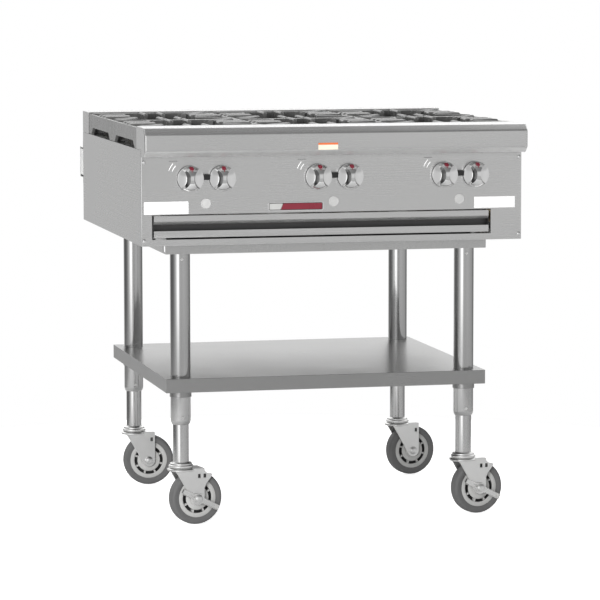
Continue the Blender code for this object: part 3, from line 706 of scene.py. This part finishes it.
def grate_pattern():
    """A cast grate: a rim with a low opening in each side, and bars that leave the middle open."""
    low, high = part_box("grate_front_centre")
    half_x, half_y = (high.x - low.x) / 2, (high.y - low.y) / 2
    foot, top = low.z, high.z
    rim_top, wall = top - 0.0035, 0.008
    rim = finish_mesh("pattern", shape(add_box, (-half_x, -half_y, foot), (half_x, half_y, rim_top)), [IRON])
    inner_x, inner_y = half_x - wall, half_y - wall
    cut(rim, shape(add_box, (-inner_x, -inner_y, foot - 0.1), (inner_x, inner_y, top + 0.1)))
    for axis, half in (("X", half_y), ("Y", half_x)):
        opening = [(0.032 - half, foot - 0.01), (half - 0.032, foot - 0.01), (half - 0.034, foot + 0.002),
                   (half - 0.055, foot + 0.0165), (0.055 - half, foot + 0.0165), (0.034 - half, foot + 0.002)]
        cut(rim, shape(add_prism, opening, axis, -0.3, 0.3))
    builder = reopen(rim)
    heights = (foot + 0.0207, foot + 0.0327, top)
    for side in (-1, 1):
        for across in (-0.022, 0.022):
            add_bar(builder, 0.011, half_y - 0.0008, 0.080, (0, side), across, heights)
        for across, reach in ((-0.040, 0.080), (0.0, 0.074), (0.040, 0.080)):
            add_bar(builder, 0.028, half_x - 0.0008, reach, (side, 0), across, heights)
        for other in (-1, 1):
            corner = Vector((side * (half_x - 0.004), other * (half_y - 0.004)))
            add_bar(builder, 0.014, corner.length - 0.004, 0.112, corner.normalized(), 0.0, heights)
    return bevel(finish_mesh("pattern", builder, [IRON]), 0.0012, 2, 50.0)


def grates():
    """Six castings from one pattern, each on its own lift."""
    pattern = grate_pattern()
    for row, column in CELLS:
        name = f"grate_{row}_{column}"
        centre = (COLUMN_X[column], ROW_Y[row], 0.0)
        place(copy_at(pattern, f"{name}_casting", Matrix.Translation(centre)), name, "cast_iron", name)
    bpy.data.objects.remove(pattern)


def burner_head():
    """The round head with a ring of ports under its crown."""
    profile = [(0.0, 0.8625), (0.030, 0.8625), (0.036, 0.8640), (0.0575, 0.8860), (0.0590, 0.8895),
               (0.0600, 0.8980), (0.0595, 0.9035), (0.0570, 0.9075), (0.0520, 0.9110), (0.0460, 0.9118),
               (0.0330, 0.9085), (0.0, 0.9068)]
    head = finish_mesh("head", shape(add_lathe, profile, 96), [BURNER_IRON])
    return cut(head, shape(add_boxes_round, 32, (0.0565, -0.0012, 0.8930), (0.0650, 0.0012, 0.8990), "Z"))


def burners():
    """Each burner's head, riser and mixing tube in one casting, fed from its own knob's valve."""
    head = burner_head()
    for row, column in CELLS:
        x, y, side = COLUMN_X[column], ROW_Y[row], 1 if row == "front" else -1
        builder = bmesh.new()
        builder.from_mesh(head.data)
        bmesh.ops.translate(builder, verts=builder.verts, vec=(x, y, 0.0))
        start, end = FRONT + 0.0625, y + 0.013
        venturi = [(0.0140, start), (0.0245, start), (0.0250, start + 0.0015), (0.0245, start + 0.006),
                   (0.0185, start + 0.020), (0.0155, start + 0.034), (0.0150, start + 0.050), (0.0168, start + 0.110),
                   (0.0168, end), (0.0, end), (0.0, start + 0.060), (0.0115, start + 0.050)]
        add_lathe(builder, venturi, 40, "Y", (x + side * KNOB_OFFSET, 0.0, KNOB_Z))
        riser = [(0.0, KNOB_Z - 0.0035), (0.0165, KNOB_Z - 0.0035), (0.0180, KNOB_Z), (0.0175, KNOB_Z + 0.025),
                 (0.0195, 0.8700), (0.0, 0.8700)]
        add_lathe(builder, riser, 40, "Z", (x + side * 0.030, y, 0.0))
        name = f"burner_{row}_{column}"
        place(finish_mesh(f"{name}_casting", builder, [BURNER_IRON]), BODY, "cast_iron", name)
    bpy.data.objects.remove(head)


def gas_train():
    """The manifold pipe with its elbows and end cap, and a valve with a hexagonal bonnet behind each knob."""
    front, height = FRONT + 0.036, 0.795
    pipe, inlet_x, inlet_z = 0.01315, 0.418, 0.720
    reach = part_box("gas_manifold")[1].y
    builder = bmesh.new()
    add_tube(builder, [(-0.3849, front, height), (0.395, front, height)], pipe, 32)
    add_lathe(builder, rod(0.0165, -0.3800, -0.3960, 0.002), 32, "X", (0.0, front, height))
    route = bend_route([(0.388, front, height), (inlet_x, front, height), (inlet_x, front, inlet_z),
                        (inlet_x, front + 0.10, inlet_z)], 0.018)
    add_tube(builder, route, pipe + 0.0030, 32)
    end = [(0.0105, reach - 0.060), (0.0105, reach), (0.0127, reach), (pipe, reach - 0.0010),
           (pipe, front + 0.090), (0.0105, front + 0.090)]
    add_lathe(builder, end, 40, "Y", (inlet_x, 0.0, inlet_z))
    pitch, threads = 0.0018, 9
    for turn in range(threads):
        y = reach - 0.003 - turn * pitch
        ridge = [(pipe - 0.0006, y), (pipe + 0.0001, y - 0.0006), (pipe - 0.0006, y - 0.0012)]
        add_lathe(builder, ridge, 40, "Y", (inlet_x, 0.0, inlet_z))
    for x in COLUMN_X.values():
        for side in (-1, 1):
            centre = (x + side * KNOB_OFFSET, FRONT, KNOB_Z)
            neck = rod(0.0085, height + 0.006, KNOB_Z - 0.003, 0.001)
            add_lathe(builder, neck, 24, "Z", (centre[0], front, 0.0))
            body = [(0.0, 0.018), (0.0105, 0.018), (0.0115, 0.021), (0.0115, 0.040), (0.0090, 0.046),
                    (0.0063, 0.047), (0.0063, 0.055), (0.0045, 0.057), (0.0, 0.057)]
            add_lathe(builder, body, 32, "Y", centre)
            add_lathe(builder, rod(0.0100, 0.008, 0.018, 0.0008), 6, "Y", centre)
            add_lathe(builder, rod(0.0029, -0.0175, 0.010), 20, "Y", centre)
    place(finish_mesh("gas_manifold_pipe", builder, [BRASS]), BODY, "brass", "gas_manifold")


def pilots():
    """One pilot tube per column, from the manifold to a tip between its two burners."""
    builder = bmesh.new()
    for x in COLUMN_X.values():
        end_y = (ROW_Y["front"] + ROW_Y["rear"]) / 2
        route = bend_route([(x, FRONT + 0.040, 0.806), (x, FRONT + 0.040, 0.8440), (x, end_y, 0.8560),
                            (x, end_y, 0.8960)], 0.012)
        add_tube(builder, route, 0.0028, 12)
        add_lathe(builder, rounded([(0.0, 0.8900), (0.0055, 0.8900), (0.0055, 0.9020), (0.0030, 0.9060),
                                    (0.0, 0.9060)], 0.0008), 20, "Z", (x, end_y, 0.0))
    place(finish_mesh("pilot_tubes", builder, [ZINC]), BODY, "zinc_plate")


# ---------------------------------------------------------------- stand

def legs():
    """Polished tubes with a swaged lower end, the smaller tubes inside them, and the set screws."""
    set_screws = bmesh.new()
    for corner in CORNERS:
        name, insert = f"leg_{corner}", f"leg_insert_{corner}"
        x, y = middle(name).x, middle(name).y
        bottom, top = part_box(name)[0].z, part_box(name)[1].z
        outer, bore, inner = 0.0238, 0.0222, 0.01905
        swage = [(outer, bottom + 0.0095), (outer - 0.0003, bottom + 0.0075), (outer - 0.0017, bottom + 0.0030),
                 (inner + 0.0016, bottom + 0.0006), (inner + 0.0009, bottom), (inner + 0.0005, bottom + 0.0006)]
        profile = [(outer, top), *swage, (inner + 0.0005, bottom + 0.0065), (bore, bottom + 0.0115), (bore, top)]
        tube = finish_mesh(f"{name}_tube", shape(add_lathe, profile, 72, "Z", (x, y, 0.0)), [TUBE_STEEL])
        place(tube, BODY, "polished_stainless", name)
        flange_low, flange_high = 0.138, 0.150
        profile = [(0.0, 0.1308), (0.0058, 0.1308), (0.0058, flange_low), (0.0275, flange_low),
                   (0.0291, flange_low + 0.0008), (0.0296, flange_low + 0.0030), (0.0291, flange_low + 0.0052),
                   (0.0268, flange_low + 0.0068), (0.0262, flange_high - 0.0020), (0.0236, flange_high),
                   (inner + 0.0010, flange_high), (inner, flange_high + 0.0012), (inner, 0.3600), (0.0165, 0.3600),
                   (0.0165, 0.1585), (0.0, 0.1585)]
        tube = finish_mesh(f"{insert}_tube", shape(add_lathe, profile, 72, "Z", (x, y, 0.0)), [TUBE_STEEL])
        repaint(tube, [ZINC], lambda centre, normal: int(centre.z < flange_high + 0.0012))
        place(tube, BODY, "zinc_plate", insert)
        for height in (0.2580, 0.6330):
            screw = [(0.0, 0.0), (0.0036, 0.0), (0.0036, -0.0020), (0.0030, -0.0026), (0.0019, -0.0026),
                     (0.0016, -0.0012), (0.0, -0.0012)]
            add_lathe(set_screws, screw, 18, "Y", (x, y - outer + 0.0004, height))
    place(finish_mesh("leg_set_screws", set_screws, [ZINC]), BODY, "zinc_plate")


# ---------------------------------------------------------------- casters

def cheek_outline(with_ear):
    """One side of the fork, drawn in from the raceway to a round end at the axle, in (x, z)."""
    axle = (TRAIL, AXLE_Z)
    sweep = [(-0.0290, 0.1335), (-0.0235, 0.1312), (-0.0190, 0.1268), (-0.0150, 0.1205)]
    outline = [*sweep, *arc(axle, 0.0155, 206, 360, 16)]
    if with_ear:
        outline += [(TRAIL + 0.0155, 0.0880), (TRAIL + 0.0200, 0.0985), (TRAIL + 0.0345, 0.1160),
                    (TRAIL + 0.0348, 0.1195), (TRAIL + 0.0325, 0.1222), (TRAIL + 0.0230, 0.1232),
                    (TRAIL + 0.0165, 0.1290)]
    return [*outline, (TRAIL + 0.0155, 0.1355), (-0.0200, 0.1355)]


def fork_pattern(braked):
    """A pressed fork with its swivel axis on Z and the wheel trailing towards +X."""
    inside, outside = 0.0200, 0.0232
    builder = bmesh.new()
    for near in (True, False):
        depth = (-outside, -inside) if near else (inside, outside)
        add_prism(builder, cheek_outline(braked and near), "Y", *depth)
    fork = finish_mesh("pattern", builder, [ZINC])
    tool = bmesh.new()
    for left in ((TRAIL - 0.001, TRAIL + 0.013) if braked else (TRAIL + 0.004,)):
        add_box(tool, (left, -0.03, 0.1125), (left + 0.0065, -0.01, 0.1220))
    add_lathe(tool, rod(0.0053, -0.04, 0.04), 32, "Y", (TRAIL, 0.0, AXLE_Z))
    cut(fork, tool)
    builder = reopen(fork)
    roof = [(-0.0150, 0.1310), (TRAIL + 0.0120, 0.1310), (TRAIL + 0.0152, 0.1295), (TRAIL + 0.0152, 0.1345),
            (TRAIL + 0.0130, 0.1362), (-0.0150, 0.1362)]
    add_prism(builder, roof, "Y", -outside + 0.0005, outside - 0.0005)
    raceway = [(0.0068, 0.1312), (0.0215, 0.1312), (0.0290, 0.1296), (0.0318, 0.1300), (0.0329, 0.1318),
               (0.0326, 0.1340), (0.0306, 0.1356), (0.0280, 0.1362), (0.0268, 0.1366), (0.0068, 0.1366)]
    add_lathe(builder, raceway, 64)
    add_lathe(builder, rod(0.0262, 0.1366, 0.1374, 0.0, 0.0180), 48)
    return bevel(finish_mesh("pattern", builder, [ZINC]), 0.0006, 2, 40.0)


def both_sides(half):
    """A closed profile from its front half, alike in front and behind."""
    return half + [(radius, -depth) for radius, depth in reversed(half)]


def wheel_patterns():
    """A ribbed core with a hub, and a tyre whose rounded tread reaches the floor."""
    half_profile = [(0.0056, -0.0188), (0.0150, -0.0188), (0.0165, -0.0180), (0.0168, -0.0150), (0.0190, -0.0150),
                    (0.0194, -0.0158), (0.0270, -0.0152), (0.0288, -0.0140), (0.0292, -0.0020), (0.0354, -0.0020),
                    (0.0360, -0.0132), (0.0372, -0.0143), (0.0455, -0.0146), (0.0466, -0.0140)]
    builder = shape(add_lathe, both_sides(half_profile), 96, "Y")
    # Faces of the web between hub and rim take the near-black slot: painted shade in the wheel's recess.
    for face in builder.faces:
        spot = face.calc_center_median()
        face.material_index = int(0.0288 < math.hypot(spot.x, spot.z) < 0.0358 and abs(spot.y) < 0.0125)
    add_boxes_round(builder, 8, (0.0280, -0.0118, -0.0022), (0.0365, 0.0118, 0.0022), "Y", 0.3)
    core = bevel(finish_mesh("core", builder, [CORE, PAINTED_RECESS_SHADE]), 0.0004, 2, 40.0)
    tread = [(0.0467, -0.0147), (0.0540, -0.0158), (0.0575, -0.0160), (0.0598, -0.0152), (0.0616, -0.0134),
             (0.0628, -0.0108), (0.0634, -0.0075), (AXLE_Z, -0.0035)]
    return core, finish_mesh("tyre", shape(add_lathe, both_sides(tread), 144, "Y"), [TREAD])


def axle_pattern(braked):
    """The axle bolt with its domed head in front, a washer, and its hexagon nut behind."""
    face = 0.0265 if braked else 0.0235
    builder = bmesh.new()
    shank = [(0.0, 0.0310), (0.0045, 0.0310), (0.0049, 0.0300), (0.0049, -face), (0.0, -face)]
    add_lathe(builder, shank, 32, "Y")
    head = [(0.0, -face), (0.0102, -face), (0.0104, -face - 0.0010), (0.0092, -face - 0.0014),
            (0.0089, -face - 0.0030), (0.0070, -face - 0.0048), (0.0036, -face - 0.0057), (0.0, -face - 0.0060)]
    add_lathe(builder, head, 48, "Y")
    add_lathe(builder, rod(0.0086, 0.0238, 0.0290, 0.0006), 6, "Y")
    return finish_mesh("axle", builder, [ZINC])


def lever_pattern():
    """The brake's rocker with an embossed middle, and a foot tab bent out at each end."""
    near, far = -0.0262, -0.0235
    bar = [(-0.0460, -0.0050), (-0.0300, -0.0062), (-0.0140, -0.0068), *arc((0.0, 0.0), 0.0130, 222, 318, 8),
           (0.0150, -0.0066), (0.0500, -0.0066), (0.0518, -0.0040), (0.0522, 0.0), (0.0518, 0.0040),
           (0.0500, 0.0066), (0.0150, 0.0066), *arc((0.0, 0.0), 0.0130, 42, 138, 8), (-0.0140, 0.0068),
           (-0.0300, 0.0062), (-0.0460, 0.0050)]
    lever = finish_mesh("pattern", shape(add_prism, bar, "Y", near, far), [BRIGHT_ZINC])
    tool = bmesh.new()
    add_lathe(tool, rod(0.0053, -0.05, 0.0), 32, "Y")
    slot = [*arc((-0.0180, 0.0), 0.0026, 90, 270, 8), *arc((-0.0120, 0.0), 0.0026, 270, 450, 8)]
    add_prism(tool, slot, "Y", -0.05, 0.0)
    cut(lever, tool)
    builder = reopen(lever)
    add_box(builder, (0.0494, near - 0.0090, -0.0064), (0.0520, near + 0.0010, 0.0064))
    add_box(builder, (-0.0460, near - 0.0060, -0.0049), (-0.0438, near + 0.0010, 0.0049))
    for edge in (-0.0058, 0.0058):
        add_box(builder, (0.0160, near - 0.0016, edge - 0.0009), (0.0500, near + 0.0005, edge + 0.0009))
    raised = Matrix.Rotation(math.radians(27), 3, "Y")
    bmesh.ops.rotate(builder, verts=builder.verts, cent=(0, 0, 0), matrix=raised)
    return bevel(finish_mesh("pattern", builder, [BRIGHT_ZINC]), 0.0005, 2, 40.0)


def casters():
    """Each caster turned the way its trail points at rest, with brakes in front."""
    core, tyre = wheel_patterns()
    forks = {braked: fork_pattern(braked) for braked in (True, False)}
    axles = {braked: axle_pattern(braked) for braked in (True, False)}
    lever = lever_pattern()
    for corner in CORNERS:
        braked = corner.startswith("front")
        swivel = Vector(JOINTS[f"caster_{corner}_swivel"]["pos_m"])
        axle = Vector(JOINTS[f"wheel_{corner}_spin"]["pos_m"])
        trail = axle - swivel
        turn = Matrix.Rotation(math.atan2(trail.y, trail.x), 4, "Z")
        at_swivel = Matrix.Translation((swivel.x, swivel.y, 0.0)) @ turn
        at_axle = Matrix.Translation(axle) @ turn
        caster, wheel = f"caster_{corner}", f"wheel_{corner}"
        place(copy_at(forks[braked], f"{caster}_fork", at_swivel), caster, "zinc_plate", f"caster_fork_{corner}")
        place(copy_at(axles[braked], f"{caster}_axle", at_axle), caster, "zinc_plate", f"axle_bolt_{corner}")
        place(copy_at(core, f"{wheel}_core", at_axle), wheel, "wheel_core_grey", f"wheel_core_{corner}")
        place(copy_at(tyre, f"{wheel}_tyre", at_axle), wheel, "grey_tyre", f"tyre_{corner}")
        if braked:
            name = f"brake_lever_{corner}"
            place(copy_at(lever, f"{name}_rocker", at_axle), name, "zinc_plate", name)
    for pattern in (core, tyre, lever, *forks.values(), *axles.values()):
        bpy.data.objects.remove(pattern)


# ---------------------------------------------------------------- studio

def level_ring(tree, turn, scale, stops):
    """Light level by compass direction: stops are (degrees from +Y towards +X, level), in order from -180."""
    ring = tree.nodes.new("ShaderNodeValToRGB")
    ramp = ring.color_ramp
    ramp.elements.remove(ramp.elements[0])
    for index, (angle, level) in enumerate(stops):
        position = (angle + 180.0) / 360.0
        stop = ramp.elements[0] if index == 0 else ramp.elements.new(position)
        stop.position = position
        stop.color = (level / scale, level / scale, level / scale, 1.0)
    tree.links.new(turn, ring.inputs["Fac"])
    return combine(tree, "MULTIPLY", ring.outputs["Color"], scale)


def blend(tree, first, second, share):
    """From the first value to the second as the share goes from 0 to 1."""
    gap = combine(tree, "SUBTRACT", second, first)
    return combine(tree, "ADD", first, combine(tree, "MULTIPLY", gap, share))


def studio_world():
    """Soft light by direction: a strip at the left front, grey at the right front, dark sides, bright back."""
    world = bpy.data.worlds.new("studio")
    bpy.context.scene.world = world
    world.use_nodes = True
    tree = world.node_tree
    tree.nodes.clear()
    where = tree.nodes.new("ShaderNodeTexCoord")
    split = tree.nodes.new("ShaderNodeSeparateXYZ")
    tree.links.new(where.outputs["Generated"], split.inputs["Vector"])
    turn = combine(tree, "ARCTAN2", split.outputs["X"], split.outputs["Y"])
    turn = combine(tree, "ADD", combine(tree, "DIVIDE", turn, 2 * math.pi), 0.5)
    brightest, zenith, underfoot = 3.0, 0.32, 0.60
    low = level_ring(tree, turn, brightest, (
        (-180, 0.76), (-170, 0.79), (-162, 1.00), (-154, 2.30), (-144, 3.00), (-132, 1.90), (-120, 1.10), (-107, 0.68),
        (-93, 0.36), (-78, 0.21), (-42, 0.18), (-26, 0.66), (-6, 0.72), (8, 1.15), (22, 1.15), (38, 0.24),
        (65, 0.28), (87, 0.60), (150, 0.84), (180, 0.76)))
    high = level_ring(tree, turn, brightest, (
        (-180, 0.30), (-165, 0.35), (-144, 0.90), (-122, 0.30), (-105, 0.12), (-70, 0.12), (-45, 2.00), (45, 2.40),
        (70, 0.25), (110, 0.20), (180, 0.30)))
    low = blend(tree, low, underfoot, remap(tree, split.outputs["Z"], 0.0, 1.0, -0.15, -0.24))
    level = blend(tree, low, high, remap(tree, split.outputs["Z"], 0.0, 1.0, 0.22, 0.42))
    level = blend(tree, level, zenith, remap(tree, split.outputs["Z"], 0.0, 1.0, 0.72, 0.92))
    lit = tree.nodes.new("ShaderNodeBackground")
    tree.links.new(level, lit.inputs["Strength"])
    white = tree.nodes.new("ShaderNodeBackground")
    white.inputs["Color"].default_value = (1.0, 1.0, 1.0, 1.0)
    path = tree.nodes.new("ShaderNodeLightPath")
    mix = tree.nodes.new("ShaderNodeMixShader")
    out = tree.nodes.new("ShaderNodeOutputWorld")
    tree.links.new(path.outputs["Is Camera Ray"], mix.inputs["Fac"])
    tree.links.new(lit.outputs["Background"], mix.inputs[1])
    tree.links.new(white.outputs["Background"], mix.inputs[2])
    tree.links.new(mix.outputs["Shader"], out.inputs["Surface"])


def key_light():
    """A soft lamp at the left front, which doesn't show in the polished metal."""
    light = bpy.data.lights.new("key", "AREA")
    light.shape = "RECTANGLE"
    light.size, light.size_y = 0.9, 2.2
    light.energy = 105.0
    lamp = new_object("key", light)
    lamp.location = (-2.1, -2.9, 1.25)
    aim = Vector((0.0, 0.0, 0.55)) - lamp.location
    lamp.rotation_euler = aim.to_track_quat("-Z", "Y").to_euler()
    lamp.visible_glossy = False


def floor():
    """A white disc just under the wheels."""
    reach, top, bottom = 1.5, -0.0006, -0.02
    made, tree, shader = start_material("studio_floor", (0.90, 0.90, 0.90), 0.0, 0.8)
    shader.inputs["Specular IOR Level"].default_value = 0.1
    shader.inputs["Emission Color"].default_value = (1.0, 1.0, 1.0, 1.0)
    path = tree.nodes.new("ShaderNodeLightPath")
    tree.links.new(combine(tree, "MULTIPLY", path.outputs["Is Camera Ray"], 0.80), shader.inputs["Emission Strength"])
    finish_mesh("studio_floor", shape(add_lathe, rod(reach, top, bottom), 96), [made])


def camera():
    """A long lens, well to the left and a little above the cooking top."""
    data = bpy.data.cameras.new("camera")
    data.sensor_width = 36.0
    data.lens = 200.9
    obj = new_object("camera", data)
    obj.location = (-1.8346, -8.0043, 1.349)
    tilt, roll, turn = 90 - 5.931, 0.067, -13.005
    obj.rotation_euler = (math.radians(tilt), math.radians(roll), math.radians(turn))
    data.clip_end = 100.0
    bpy.context.scene.camera = obj


def main():
    camera()
    studio_world()
    floor()
    key_light()
    bpy.context.scene.view_settings.view_transform = "Standard"
    sheet_metal()
    spacer_pads()
    knobs()
    knob_surrounds()
    panel_marks()
    labels()
    blank_nameplate()
    screws()
    grates()
    burners()
    gas_train()
    pilots()
    legs()
    casters()


main()
